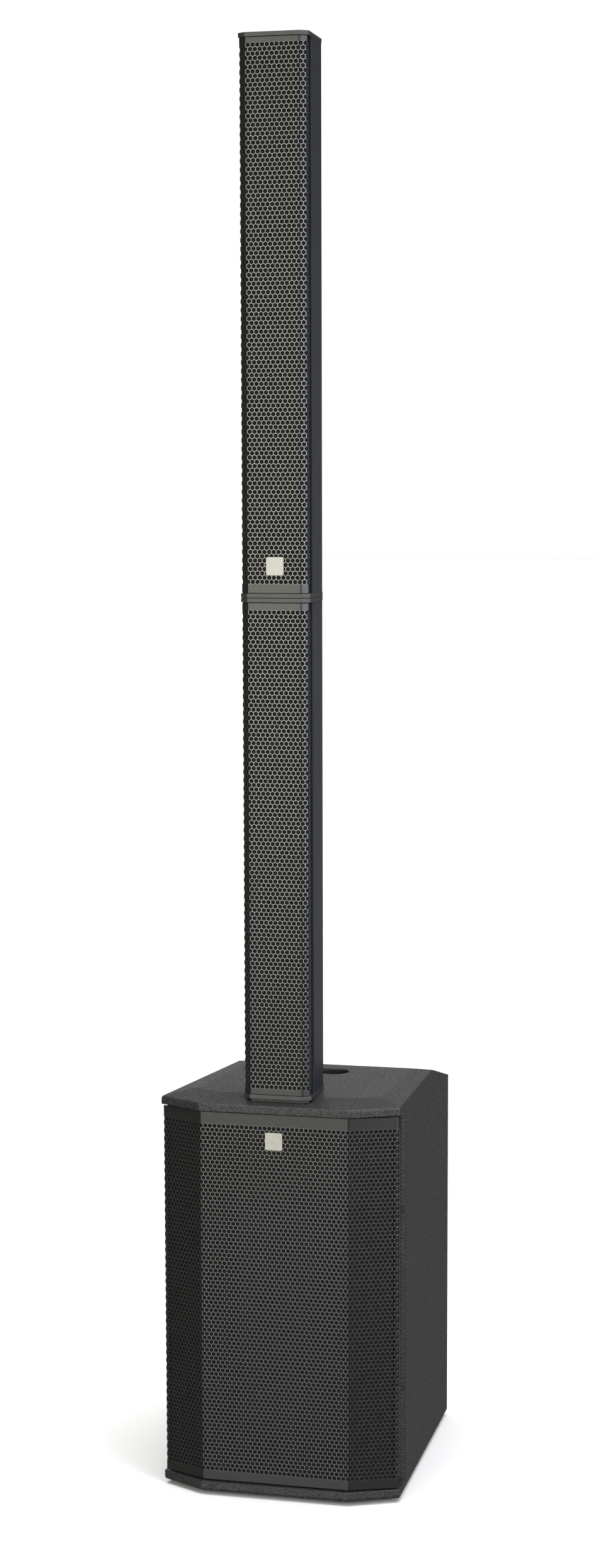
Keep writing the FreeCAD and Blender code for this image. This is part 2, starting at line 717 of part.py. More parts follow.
def column_baffle(z0, z1, heights, with_horn):
    y0 = depth(COL_BAFFLE_DEPTH)
    half = col_side_x(depth(HOUSING_FRONT_DEPTH)) - HOUSING_INSET - 1.4
    plate = box(-half, half, y0, y0 + COL_BAFFLE_T, z0, z1)
    for z in heights:
        plate = plate.cut(rod(MID_HOLE_R, 0, z, y0 - 1, y0 + COL_BAFFLE_T + 1))
    if with_horn:
        zm = (z0 + z1) / 2
        plate = plate.cut(box(-HORN_W / 2, HORN_W / 2, y0 - 1, y0 + 5, zm - HORN_H / 2, zm + HORN_H / 2))
    return plate


def mid_frames(heights):
    """Frame and magnet of each mid driver."""
    y = depth(COL_BAFFLE_DEPTH)
    profile = [(MID_FRAME_R, -3), (MID_FRAME_R, 0), (32.5, 0), (24, 18), (24, 40), (0, 40), (0, 20.5),
               (8.5, 20.5), (8.5, 30), (10.6, 30), (10.6, 19), (22, 17), (30.5, -0.5), (30.5, -3)]
    return group([turned(profile, 0, y, z) for z in heights])


def mid_cones(heights):
    """Paper cone with its dust cap and coil former, one solid each."""
    y = depth(COL_BAFFLE_DEPTH)
    profile = [(26.5, -0.5), (26.5, 0.3), (9.95, 13.5), (9.95, 26), (9.15, 26), (9.15, 12.6), (4.5, 10.2),
               (0, 9.4), (0, 8.8), (4.5, 9.5), (9.6, 12.1), (25.6, -0.5)]
    return group([turned(profile, 0, y, z) for z in heights])


def mid_surrounds(heights):
    rings = []
    for z in heights:
        ring = half_roll(26.6, 30.4, -0.5, 2.0, 0.5).revolve(V(0, 0, 0), Y_AXIS, 360)
        ring.translate(V(0, depth(COL_BAFFLE_DEPTH), z))
        rings.append(ring)
    return group(rings)


def tapered(z, front, back):
    """A solid between two upright rectangles, each given as (width, height, y)."""
    rings = []
    for w, h, y in (front, back):
        corners = [(-w, -h), (w, -h), (w, h), (-w, h), (-w, -h)]
        rings.append(Part.makePolygon([V(cx / 2, y, z + cz / 2) for cx, cz in corners]))
    return Part.makeLoft(rings, True, True)


def tweeter_horn(z):
    """Rectangular waveguide with the compression driver on its throat."""
    y = depth(COL_BAFFLE_DEPTH)
    back = y + HORN_DEPTH
    outer = tapered(z, (HORN_W, HORN_H, y), (26, 30, back))
    inner = tapered(z, (HORN_W - 6, HORN_H - 6, y - 3.01), (14, 16, back - 2))
    flange = block_y(0, z, HORN_W + 8, HORN_H + 8, y - 3, y)
    flange = rounded(flange, 3.0, lambda e: is_along(e, Y_AXIS))
    driver = rod(19, 0, z, back, back + 26)
    return fuse([outer, flange, driver]).cut(inner)


# ---- amplifier ----
def jack_places():
    return [(x, JACK_Z) for x in JACK_XS]


def amp_panel():
    y0 = REAR - REAR_BOARD_INSET
    plate = box(-AMP_W / 2, AMP_W / 2, y0, AMP_FACE, AMP_Z0, AMP_Z1)
    plate = rounded(plate, 4.0, lambda e: is_along(e, Y_AXIS))
    holes = [rod(SHAFT_R + SHAFT_CLEAR, x, KNOB_Z, y0 - 1, AMP_FACE + 1) for x in KNOB_XS]
    holes += [rod(JACK_BARREL_R, x, z, y0 - 1, AMP_FACE + 1) for x, z in jack_places()]
    holes += [rod(5.5, x, z, y0 - 1, AMP_FACE + 1) for x, z, _ in SMALL_JACKS]
    holes += [latch_slot(x, 0.35) for x in JACK_XS]
    holes.append(rod(PAIR_R + 0.4, PAIR_X, PAIR_Z, y0 - 1, AMP_FACE + 1))
    holes.append(panel_window(INLET_X, INLET_Z, INLET_W, INLET_H))
    holes.append(panel_window(SWITCH_X, SWITCH_Z, SWITCH_W, SWITCH_H))
    for hole in holes:
        plate = plate.cut(hole)
    for x, z in panel_screw_places():
        plate = plate.cut(rod(2.2, x, z, y0 - 1, AMP_FACE + 1))
    return plate


def panel_window(x, z, w, h):
    return block_y(x, z, w, h, REAR - REAR_BOARD_INSET - 1, AMP_FACE + 1)


def panel_screw_places():
    x = AMP_W / 2 - 5
    return [(sx * x, z) for sx in (1, -1) for z in (AMP_Z0 + 7, (AMP_Z0 + AMP_Z1) / 2, AMP_Z1 - 7)]


def panel_screws():
    made = []
    for x, z in panel_screw_places():
        shank = rod(1.9, x, z, AMP_FACE - 10, AMP_FACE)
        head = rod(4.0, x, z, AMP_FACE, AMP_FACE + 2.2)
        slot = box(x - 2.6, x + 2.6, AMP_FACE + 1.2, AMP_FACE + 3, z - 0.45, z + 0.45)
        cross = box(x - 0.45, x + 0.45, AMP_FACE + 1.2, AMP_FACE + 3, z - 2.6, z + 2.6)
        made.append(fuse([shank, head]).cut(slot).cut(cross))
    return group(made)


def amp_chassis():
    """Sheet-steel tray behind the panel, open towards it."""
    y1 = REAR - REAR_BOARD_INSET
    y0 = y1 - CHASSIS_DEPTH
    half = CUT_W / 2 - 2
    z0, z1 = AMP_Z0 + CUT_MARGIN + 2, AMP_Z1 - CUT_MARGIN - 2
    tray = box(-half, half, y0, y1, z0, z1)
    w = CHASSIS_WALL
    return tray.cut(box(-half + w, half - w, y0 + w, y1 + 1, z0 + w, z1 - w))


def amp_board():
    """Circuit board standing in the chassis, with its transformer, capacitors and power devices."""
    y = REAR - REAR_BOARD_INSET - CHASSIS_DEPTH + CHASSIS_WALL + 5
    board = box(-80, 80, y, y + 1.6, AMP_Z0 + 20, AMP_Z1 - 20)
    core = box(30, 74, y + 1.6, y + 30, AMP_Z0 + 26, AMP_Z0 + 66)
    post_zs = (AMP_Z0 + 30, AMP_Z1 - 30)
    posts = [box(x - 4, x + 4, y - 5, y, z - 4, z + 4) for x in (-70, 70) for z in post_zs]
    cans = [rod(9, x, AMP_Z0 + 92, y + 1.6, y + 26) for x in (34, 58)]
    devices = [box(x - 8, x + 8, y + 1.6, y + 6, AMP_Z1 - 60, AMP_Z1 - 40) for x in (-60, -30, 30, 60)]
    return fuse([board, core] + posts + cans + devices)


def heatsink():
    """Finned aluminium block on the outside of the panel."""
    half = SINK_W / 2
    base = box(-half, half, AMP_FACE, AMP_FACE + 3.5, SINK_Z0, SINK_Z1)
    pitch = (SINK_W - 2.4) / (SINK_FINS - 1)
    lefts = [-half + i * pitch for i in range(SINK_FINS)]
    fins = [box(x, x + 2.4, AMP_FACE + 3, AMP_FACE + SINK_T, SINK_Z0, SINK_Z1) for x in lefts]
    return fuse([base] + fins)


def knob(x):
    """Fluted knob with a pointer groove, on a shaft that runs through the panel."""
    y0 = AMP_FACE + KNOB_GAP
    body = Part.makeCone(KNOB_R, KNOB_R - 1.2, KNOB_H, V(x, y0, KNOB_Z), Y_AXIS)
    body = rounded(body, 1.0, lambda e: e.BoundBox.YMin > y0 + KNOB_H - 0.01)
    for fx, fz in bolt_places(x, KNOB_Z, KNOB_R + 0.2, KNOB_FLUTES):
        body = body.cut(rod(0.9, fx, fz, y0 + 3, y0 + KNOB_H + 1))
    top = y0 + KNOB_H
    body = body.cut(box(x - 0.7, x + 0.7, top - 0.8, top + 1, KNOB_Z + 1.5, KNOB_Z + KNOB_R + 1))
    return fuse([body, rod(SHAFT_R, x, KNOB_Z, AMP_FACE - 14, y0 + 1)])


def control_bodies():
    """The four potentiometers behind the panel, and the push button's switch on its bracket."""
    y1 = REAR - REAR_BOARD_INSET
    made = []
    for x in KNOB_XS:
        pot = box(x - 8, x + 8, y1 - 14, y1 - 5, KNOB_Z - 10, KNOB_Z + 8)
        neck = rod(4.6, x, KNOB_Z, y1 - 6, y1)
        made.append(fuse([pot, neck]).cut(rod(SHAFT_R + 0.08, x, KNOB_Z, AMP_FACE - 14.5, y1 + 1)))
    switch = box(PAIR_X - 7, PAIR_X + 7, y1 - 17, y1 - 7, PAIR_Z - 7, PAIR_Z + 7)
    leg_xs = (PAIR_X - 8.5, PAIR_X + 8.5)
    legs = [box(x - 1.5, x + 1.5, y1 - 12, y1, PAIR_Z - 7, PAIR_Z + 7) for x in leg_xs]
    made.append(fuse([switch] + legs).cut(rod(3.08, PAIR_X, PAIR_Z, y1 - 16.5, y1)))
    return group(made)


def combo_jacks():
    """Flange, barrel, quarter-inch bore and three pin holes; the tab's slot is cut in the flange."""
    made = []
    for x, z in jack_places():
        flange = block_y(x, z, JACK_FLANGE_W, JACK_FLANGE_H, AMP_FACE, AMP_FACE + 2.5)
        flange = rounded(flange, 2.5, lambda e: is_along(e, Y_AXIS))
        jack = fuse([flange, rod(JACK_BARREL_R, x, z, AMP_FACE - JACK_DEEP, AMP_FACE + 1)])
        jack = jack.cut(rod(9.8, x, z, AMP_FACE - 1, AMP_FACE + 5))
        jack = jack.cut(rod(JACK_BORE_R, x, z, AMP_FACE - JACK_DEEP + 2, AMP_FACE + 5))
        for dx, dz in JACK_PINS:
            jack = jack.cut(rod(1.3, x + dx, z + dz, AMP_FACE - 14, AMP_FACE + 5))
        made.append(jack.cut(latch_slot(x, 0.35)))
    return group(made)


def latch_slot(x, clear):
    return block_y(x, LATCH_Z, LATCH_W + 2 * clear, LATCH_H + 2 * clear, AMP_FACE - 8, AMP_FACE + 20)


def jack_latch(x):
    """Release tab. It stands proud of the flange and is pushed in."""
    tab = block_y(x, LATCH_Z, LATCH_W, LATCH_H, AMP_FACE - 4, AMP_FACE + LATCH_OUT)
    return rounded(tab, 0.8, lambda e: e.BoundBox.YMin > AMP_FACE + LATCH_OUT - 0.01)


def small_jacks():
    """Link and aux jacks with their ring nuts."""
    made = []
    for x, z, bore in SMALL_JACKS:
        body = fuse([rod(5.5, x, z, AMP_FACE - 20, AMP_FACE), rod(7.5, x, z, AMP_FACE, AMP_FACE + 2.5)])
        made.append(body.cut(rod(bore, x, z, AMP_FACE - 18, AMP_FACE + 5)))
    return group(made)


def pair_button():
    """Round cap, a collar that keeps it behind the panel, and a stem that slides in its switch."""
    y1 = REAR - REAR_BOARD_INSET
    cap = rod(PAIR_R, PAIR_X, PAIR_Z, y1 - 2.3, AMP_FACE + 4.5)
    cap = rounded(cap, 0.8, lambda e: e.BoundBox.YMin > AMP_FACE + 4.4)
    collar = rod(PAIR_R + 1.5, PAIR_X, PAIR_Z, y1 - 2.3, y1 - 0.3)
    return fuse([cap, collar, rod(3.0, PAIR_X, PAIR_Z, y1 - 13.5, y1 - 2.3)])


def mains_inlet():
    """Inlet body with its recess and three blades, and the fuse drawer under it."""
    x, z = INLET_X, INLET_Z
    y1 = AMP_FACE + 2.5
    flange = block_y(x, z, INLET_W + 4, INLET_H + 4, AMP_FACE, y1)
    flange = rounded(flange, 2.0, lambda e: is_along(e, Y_AXIS))
    inlet = fuse([flange, block_y(x, z, INLET_W, INLET_H, AMP_FACE - 22, AMP_FACE)])
    zc = z + 8
    inlet = inlet.cut(box(x - 12, x + 12, AMP_FACE - 15, y1 + 1, zc - 10, zc + 9))
    blades = [box(x + dx - 1, x + dx + 1, AMP_FACE - 16, y1 - 3, zc + dz - 2, zc + dz + 2)
              for dx, dz in ((-7, -1.5), (0, 2.5), (7, -1.5))]
    drawer = box(x - 11, x + 11, y1 - 0.5, y1 + 1.5, z - 20.5, z - 6.5)
    return fuse([inlet, drawer] + blades)


def switch_frame():
    x, z = SWITCH_X, SWITCH_Z
    outer = fuse([block_y(x, z, SWITCH_W + 4, SWITCH_H + 4, AMP_FACE, AMP_FACE + 2),
                  block_y(x, z, SWITCH_W, SWITCH_H, AMP_FACE - 18, AMP_FACE)])
    return outer.cut(block_y(x, z, SWITCH_W - 3.2, SWITCH_H - 3.2, AMP_FACE - 12, AMP_FACE + 3))


def power_rocker():
    """Rocker with a shallow V face, drawn with its lower end pressed in."""
    x, z = SWITCH_X, SWITCH_Z
    half = SWITCH_H / 2 - 3.0
    y = AMP_FACE
    outline = [(y - 4, z - half), (y + 2.6, z - half), (y + 0.6, z), (y + 2.6, z + half),
               (y - 4, z + half), (y - 8, z + 3), (y - 8, z - 3)]
    body = profile_x(outline, x - SWITCH_W / 2 + 2.2, x + SWITCH_W / 2 - 2.2)
    body.rotate(V(x, y - 4, z), X_AXIS, -ROCKER_TILT)
    return body


# ---- build ----
def build_cabinet():
    block = cabinet_block()
    wall = side_wall_right(block)
    save("top_panel", top_panel(block))
    save("bottom_panel", bottom_panel(block))
    save("side_wall_right", wall)
    save("side_wall_left", both_sides(wall))
    save("front_baffle", front_baffle())
    save("rear_board", rear_board(block))
    save("handle_cup", handle_cup())
    save("column_dock", column_dock())
    save("sub_grille", sub_grille())
    save("sub_grille_foam", grille_foam())
    save("grille_clips", grille_clips())
    save("sub_badge", badge(0, SUB_BADGE_Z, depth(GRILLE_DEPTH)))
    save("rubber_feet", rubber_feet())


def build_woofer():
    y = depth(BAFFLE_DEPTH)
    save("woofer_basket", woofer_basket(y))
    save("woofer_magnet", woofer_magnet(y))
    save("woofer_cone", woofer_cone(y))
    save("woofer_dust_cap", dust_cap(y))
    save("woofer_voice_coil", voice_coil(y))
    save("woofer_surround", woofer_surround(y))
    save("woofer_spider", woofer_spider(y))
    places = bolt_places(0, WOOFER_Z, WOOFER_BOLT_R, WOOFER_BOLTS)
    save("woofer_bolts", bolts(places, 4.5, 2.7, y - WOOFER_FLANGE_T, y + PANEL - 1))
    save("port_tubes", port_tubes())


def build_element(name, z0, z1, with_horn):
    body0, body1 = z0 + CAP_T, z1 - CAP_T
    heights = mid_heights(body0, body1, with_horn)
    save(name + "_housing", housing(body0, body1))
    save(name + "_top_cap", top_cap(z1, with_socket=not with_horn))
    save(name + "_bottom_cap", bottom_cap(z0))
    save(name + "_plug", column_plug(z0))
    save(name + "_grille", column_grille(body0 + CAP_GAP, body1 - CAP_GAP))
    save(name + "_baffle", column_baffle(body0, body1, heights, with_horn))
    save(name + "_mid_frames", mid_frames(heights))
    save(name + "_mid_cones", mid_cones(heights))
    save(name + "_mid_surrounds", mid_surrounds(heights))
    if with_horn:
        save(name + "_tweeter_horn", tweeter_horn((body0 + body1) / 2))
        save(name + "_badge", badge(COL_BADGE_X, COL_BADGE_Z, depth(COL_GRILLE_DEPTH)))


def build_amplifier():
    save("amp_panel", amp_panel())
    save("amp_chassis", amp_chassis())
    save("amp_board", amp_board())
    save("heatsink", heatsink())
    for name, x in zip(KNOB_NAMES, KNOB_XS):
        save(name, knob(x))
    save("control_bodies", control_bodies())
    save("combo_jacks", combo_jacks())
    for name, x in zip(("jack_latch_a", "jack_latch_b"), JACK_XS):
        save(name, jack_latch(x))
    save("small_jacks", small_jacks())
    save("pair_button", pair_button())
    save("mains_inlet", mains_inlet())
    save("switch_frame", switch_frame())
    save("power_rocker", power_rocker())
    save("panel_screws", panel_screws())


build_cabinet()
build_woofer()
build_element("lower", LOWER_Z0, LOWER_Z1, with_horn=False)
build_element("upper", UPPER_Z0, UPPER_Z1, with_horn=True)
build_amplifier()
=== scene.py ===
import json
import math
from collections import namedtuple

import bmesh
import bpy
from mathutils import Matrix, Vector

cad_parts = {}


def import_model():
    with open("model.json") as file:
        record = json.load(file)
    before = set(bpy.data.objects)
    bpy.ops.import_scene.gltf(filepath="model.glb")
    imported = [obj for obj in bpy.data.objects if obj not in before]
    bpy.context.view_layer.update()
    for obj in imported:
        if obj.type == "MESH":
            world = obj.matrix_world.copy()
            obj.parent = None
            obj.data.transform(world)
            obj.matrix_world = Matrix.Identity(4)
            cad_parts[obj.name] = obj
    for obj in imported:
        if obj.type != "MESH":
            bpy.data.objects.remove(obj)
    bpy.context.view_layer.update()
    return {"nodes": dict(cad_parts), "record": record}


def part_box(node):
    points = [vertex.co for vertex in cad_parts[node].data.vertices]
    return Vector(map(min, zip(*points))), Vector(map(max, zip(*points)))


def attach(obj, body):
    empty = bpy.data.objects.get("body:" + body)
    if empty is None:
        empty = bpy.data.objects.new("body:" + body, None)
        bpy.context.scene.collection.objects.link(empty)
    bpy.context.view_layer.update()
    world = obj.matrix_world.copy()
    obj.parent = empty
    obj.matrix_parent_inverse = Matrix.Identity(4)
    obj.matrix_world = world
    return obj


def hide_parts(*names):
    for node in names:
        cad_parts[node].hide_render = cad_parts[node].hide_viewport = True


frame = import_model()
NODES = frame["nodes"]
MM = 0.001

# ---- camera, solved from the photograph's perspective: metres, degrees and millimetres of lens ----
CAMERA_PLACE = (1.2772, -4.5712, 1.4449)
CAMERA_AZIMUTH = 15.97
CAMERA_PITCH = 8.73
CAMERA_ROLL = -0.18
CAMERA_LENS = 75.49
CAMERA_SENSOR = 36
CAMERA_SHIFT_Y = 0.1236

# ---- world: levels as radiance ----
WORLD_BACK = 1.05
WORLD_SIDES = 0.34
WORLD_REAR = 0.11
WORLD_LEFT = 0.06
WORLD_BELOW = 0.22
WORLD_BELOW_FRONT = 1.5

# ---- world: where the levels change, along an axis or as the cosine to a heading ----
LEFT_EDGE = (-0.75, -0.35)              # along X, from the left to the sides
REAR_EDGE = (0.0, 0.5)                  # along Y, from the sides to the rear
BACK_HEADING = (-0.272, 0.962, 0.0)     # away from the camera
BACK_EDGE = (0.955, 0.975)
FRONT_HEADING = (-0.27, -0.94, -0.2)    # down and to the front
FRONT_EDGE = (0.90, 0.98)
HORIZON = (-0.05, -0.02)                # along Z, from below to above

# ---- lamps and floor ----
SUN_PLACE = (0.4, -0.1, 4)
SUN_STRENGTH = 3.2
SUN_WIDTH = 60                          # degrees
Softbox = namedtuple("Softbox", "name place aim size radiance color")
SOFTBOXES = (
    Softbox("front_left", (-1.15, -4.2, 1.5), (-0.1, 0, 1.5), (1.7, 2.9), 5.2, (1.0, 0.99, 0.86)),
    Softbox("front_right", (3.5, -3.1, 1.5), (0, 0, 1.5), (1.7, 2.9), 8.0, (0.90, 0.93, 1.0)),
    Softbox("side_right", (4.2, 0.3, 1.6), (0, 0, 1.0), (2.0, 2.4), 0.5, (0.93, 0.96, 1.0)),
)
FLOOR_SIZE = 80
FLOOR_MIDDLE = (0, 10, 0)

# ---- perforation ----
PITCH = 6.7 * MM                        # between hole centres along a row
ROW = PITCH * math.sqrt(3) / 2          # between rows
WEB = 0.92 * MM                         # metal left between two holes
HOLE_R = (PITCH - WEB) / math.sqrt(3)   # centre to corner of a hexagonal hole
CELL_R = PITCH / math.sqrt(3)

# ---- folded grilles ----
# corners: (x, depth behind the cabinet's front) in mm of the right half's bends, then its end
# bend, sheet: outer radius of the bends, thickness of the steel
# side: how far the plain bands stop short of the sheet's ends
# rows, top_band: rows of holes, and the height above the centres of the top one
CAB_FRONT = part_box("bottom_panel")[0].y
SUB_CORNERS = [(107.8, 6.7), (173.1, 39.1), (171.3, 60.0)]
COLUMN_CORNERS = [(37.5, 19.2), (47.8, 25.6), (45.2, 46.0)]
Grille = namedtuple("Grille", "element body corners bend sheet side rows top_band")
SUB_GRILLE = Grille("sub", "base", SUB_CORNERS, 2.0 * MM, 1.5 * MM, 21.0 * MM, 87, 19.6 * MM)
COLUMN_GRILLES = (
    Grille("lower", "lower_column", COLUMN_CORNERS, 1.5 * MM, 1.2 * MM, 20.6 * MM, 115, 12.5 * MM),
    Grille("upper", "upper_column", COLUMN_CORNERS, 1.5 * MM, 1.2 * MM, 20.6 * MM, 124, 10.0 * MM),
)

# ---- foam behind the grilles ----
Foam = namedtuple("Foam", "inset thickness")    # inset: from the grille's outer face to the foam's
SUB_FOAM = Foam(2.0 * MM, 4.2 * MM)
RETURN_FOAM = Foam(1.9 * MM, 1.8 * MM)
COLUMN_FOAM = Foam(1.6 * MM, 2.5 * MM)
SUB_FOAM_SIDE = 28.5 * MM               # from the end of the bass grille to its foam
RETURN_FOAM_GAP = 1.0 * MM              # between that foam and the lining of the returns
COLUMN_FOAM_SIDE = 0.3 * MM
COLUMN_FOAM_OVER = 0.6 * MM             # past the column grilles' top and bottom edges
FOAM_PRESSED = 0.5 * MM                 # inset at the outer folds
FOAM_PRESSED_SPAN = 5 * MM              # from half of this beyond a fold, the inset grows over this
FOAM_STEP_UP = 16 * MM
FOAM_STEP_ACROSS = 3 * MM
FOAM_LEAST_ACROSS = 4
FOAM_SWELL = 0.12 * MM
FOAM_WAVES = (310, 47)                  # radians per metre, across and up

# ---- printed scales of the knobs ----
KNOBS = ("knob_input_a", "knob_input_b", "knob_bass_level", "knob_master")
SCALE_START = -150                      # degrees
SCALE_STEP = 30
SCALE_LONG = (0, 5, 10)                 # the longer of the marks, counted from the start
SCALE_MARKS = 11
SCALE_R = 11.6 * MM
MARK_LONG = 2.6 * MM
MARK_SHORT = 1.6 * MM
MARK_WIDTH = 0.5 * MM
MARK_DEPTH = 0.06 * MM


# ---- node materials ----
class Paint:
    """A material being built: its node tree, its shader and object-space coordinates."""

    def __init__(self, name, color, roughness, **sockets):
        self.mat = bpy.data.materials.new(name)
        self.mat.use_nodes = True
        self.tree = self.mat.node_tree
        self.bsdf = self.tree.nodes["Principled BSDF"]
        self.bsdf.inputs["Base Color"].default_value = (*color, 1)
        self.bsdf.inputs["Roughness"].default_value = roughness
        for socket, value in sockets.items():
            self.bsdf.inputs[socket.replace("_", " ")].default_value = value
        self.coords = self.node("ShaderNodeTexCoord").outputs["Object"]
        self.normal = None

    def node(self, kind, **settings):
        made = self.tree.nodes.new(kind)
        for key, value in settings.items():
            setattr(made, key, value)
        return made

    def link(self, a, b):
        self.tree.links.new(a, b)

    def noise(self, size, detail=2.0, stretch=(1, 1, 1)):
        """Noise whose features are about size metres across."""
        mapping = self.node("ShaderNodeMapping")
        mapping.inputs["Scale"].default_value = stretch
        self.link(self.coords, mapping.inputs["Vector"])
        noise = self.node("ShaderNodeTexNoise")
        noise.inputs["Scale"].default_value = 1.0 / size
        noise.inputs["Detail"].default_value = detail
        self.link(mapping.outputs["Vector"], noise.inputs["Vector"])
        return noise.outputs["Fac"]

    def cells(self, size):
        """Distance to the nearest of scattered points about size metres apart."""
        cells = self.node("ShaderNodeTexVoronoi")
        cells.inputs["Scale"].default_value = 1.0 / size
        self.link(self.coords, cells.inputs["Vector"])
        return cells.outputs["Distance"]

    def ramp(self, value, low, high, at=(0.35, 0.65)):
        """Runs value into a two-colour ramp and returns its colour."""
        ramp = self.node("ShaderNodeValToRGB")
        ramp.color_ramp.elements[0].position = at[0]
        ramp.color_ramp.elements[1].position = at[1]
        ramp.color_ramp.elements[0].color = (*low, 1)
        ramp.color_ramp.elements[1].color = (*high, 1)
        self.link(value, ramp.inputs["Fac"])
        return ramp.outputs["Color"]

    def span(self, value, low, high, at=(0.3, 0.7)):
        """Maps value from the range at to the range low..high."""
        span = self.node("ShaderNodeMapRange")
        span.inputs["From Min"].default_value = at[0]
        span.inputs["From Max"].default_value = at[1]
        span.inputs["To Min"].default_value = low
        span.inputs["To Max"].default_value = high
        self.link(value, span.inputs["Value"])
        return span.outputs["Result"]

    def color(self, socket):
        self.link(socket, self.bsdf.inputs["Base Color"])

    def roughness(self, socket):
        self.link(socket, self.bsdf.inputs["Roughness"])

    def bump(self, height, distance, strength=1.0):
        """Adds a bump layer on top of the ones before it."""
        bump = self.node("ShaderNodeBump")
        bump.inputs["Strength"].default_value = strength
        bump.inputs["Distance"].default_value = distance
        self.link(height, bump.inputs["Height"])
        if self.normal is not None:
            self.link(self.normal, bump.inputs["Normal"])
        self.normal = bump.outputs["Normal"]
        self.link(self.normal, self.bsdf.inputs["Normal"])

    def soft_edges(self, radius):
        """Catches the light along edges that are slightly rounded."""
        bevel = self.node("ShaderNodeBevel")
        bevel.inputs["Radius"].default_value = radius
        self.normal = bevel.outputs["Normal"]
        self.link(self.normal, self.bsdf.inputs["Normal"])


def tint(color, factor):
    return tuple(c * factor for c in color)


def cabinet_paint():
    """Thick sprayed structure paint: a grain of about 2.4 mm over drops of about the same size."""
    color = (0.0215, 0.0208, 0.0219)
    paint = Paint("cabinet_paint", color, 0.5, Specular_IOR_Level=0.45)
    paint.soft_edges(2.2 * MM)
    grain = paint.noise(2.4 * MM, 3.0)
    drops = paint.cells(2.2 * MM)
    paint.color(paint.ramp(grain, tint(color, 0.45), tint(color, 2.0)))
    paint.roughness(paint.span(paint.noise(4.0 * MM, 2.0), 0.34, 0.6))
    paint.bump(drops, 0.9 * MM, 0.4)
    paint.bump(grain, 0.8 * MM, 0.8)
    return paint.mat


def satin_coat(name, color, roughness):
    """Fine powder coat on steel."""
    paint = Paint(name, color, roughness, Specular_IOR_Level=0.42)
    paint.soft_edges(0.3 * MM)
    fine = paint.noise(0.5 * MM, 2.0)
    paint.color(paint.ramp(paint.noise(60 * MM, 3.0), tint(color, 0.9), tint(color, 1.12)))
    paint.roughness(paint.span(fine, roughness - 0.05, roughness + 0.07))
    paint.bump(fine, 0.05 * MM, 0.4)
    return paint.mat


def punched_steel():
    """The webs between the grille's holes: the same coat, glossier, with painted sheen for the light their
    rounded punched edges catch: a colour lighter than the plain coat's, in lighter patches.
    """
    # painted sheen: the webs' colour is a little lighter than grille_steel's
    color = (0.018, 0.018, 0.0172)
    paint = Paint("punched_steel", color, 0.33, Specular_IOR_Level=1.0,
                  Coat_Weight=0.35, Coat_Roughness=0.3, Coat_IOR=1.8)
    # painted sheen: lighter patches in the webs' colour stand for light caught on the punched edges
    web_sheen = paint.noise(14 * MM, 3.0)
    paint.color(paint.ramp(web_sheen, tint(color, 0.75), tint(color, 1.3)))
    paint.roughness(paint.span(paint.noise(2.5 * MM, 2.0), 0.27, 0.42))
    paint.bump(paint.noise(1.2 * MM, 2.0), 0.05 * MM, 0.4)
    return paint.mat


def moulded(name, color, roughness, grain=0.8 * MM, depth=0.06 * MM, edge=0.4 * MM):
    """Moulded plastic with a fine spark-eroded grain."""
    paint = Paint(name, color, roughness)
    paint.soft_edges(edge)
    fine = paint.noise(grain, 3.0)
    paint.color(paint.ramp(paint.noise(25 * MM, 4.0), tint(color, 0.85), tint(color, 1.15)))
    paint.roughness(paint.span(fine, roughness - 0.06, roughness + 0.08))
    paint.bump(fine, depth, 0.5)
    return paint.mat


def anodised(name, color, roughness, stretch):
    """Anodised aluminium with a faint drawn or brushed grain."""
    paint = Paint(name, color, roughness, Metallic=0.55)
    paint.soft_edges(0.5 * MM)
    lines = paint.noise(0.4 * MM, 3.0, stretch)
    paint.color(paint.ramp(paint.noise(120 * MM, 2.0), tint(color, 0.92), tint(color, 1.08)))
    paint.roughness(paint.span(lines, roughness - 0.05, roughness + 0.06))
    paint.bump(lines, 0.02 * MM, 0.4)
    return paint.mat


def foam_material():
    """Open-cell acoustic foam."""
    color = (0.004, 0.004, 0.004)
    paint = Paint("foam", color, 0.95)
    pores = paint.cells(1.1 * MM)
    paint.color(paint.ramp(pores, tint(color, 0.3), tint(color, 1.6), (0.1, 0.7)))
    paint.roughness(paint.span(pores, 0.9, 1.0))
    paint.bump(pores, 0.8 * MM, 0.8)
    return paint.mat


def rubber_material(name, color, roughness):
    """Matt rubber, faintly mottled."""
    paint = Paint(name, color, roughness)
    fine = paint.noise(1.2 * MM, 3.0)
    paint.color(paint.ramp(fine, tint(color, 0.8), tint(color, 1.2)))
    paint.roughness(paint.span(fine, roughness - 0.05, roughness + 0.1))
    paint.bump(fine, 0.05 * MM, 0.4)
    return paint.mat


def paper_material():
    """Pressed cone paper with short fibres."""
    color = (0.022, 0.022, 0.023)
    paint = Paint("cone_paper", color, 0.75)
    fibres = paint.noise(0.9 * MM, 5.0, (1, 1, 3))
    paint.color(paint.ramp(fibres, tint(color, 0.7), tint(color, 1.5)))
    paint.roughness(paint.span(fibres, 0.65, 0.9))
    paint.bump(fibres, 0.15 * MM, 0.6)
    return paint.mat


def cloth_material():
    """Treated spider cloth, uneven like a fine weave."""
    color = (0.42, 0.27, 0.09)
    paint = Paint("spider_cloth", color, 0.8)
    weave = paint.noise(0.6 * MM, 4.0)
    paint.color(paint.ramp(weave, tint(color, 0.7), tint(color, 1.2)))
    paint.roughness(paint.span(weave, 0.7, 0.95))
    paint.bump(weave, 0.2 * MM, 0.7)
    return paint.mat


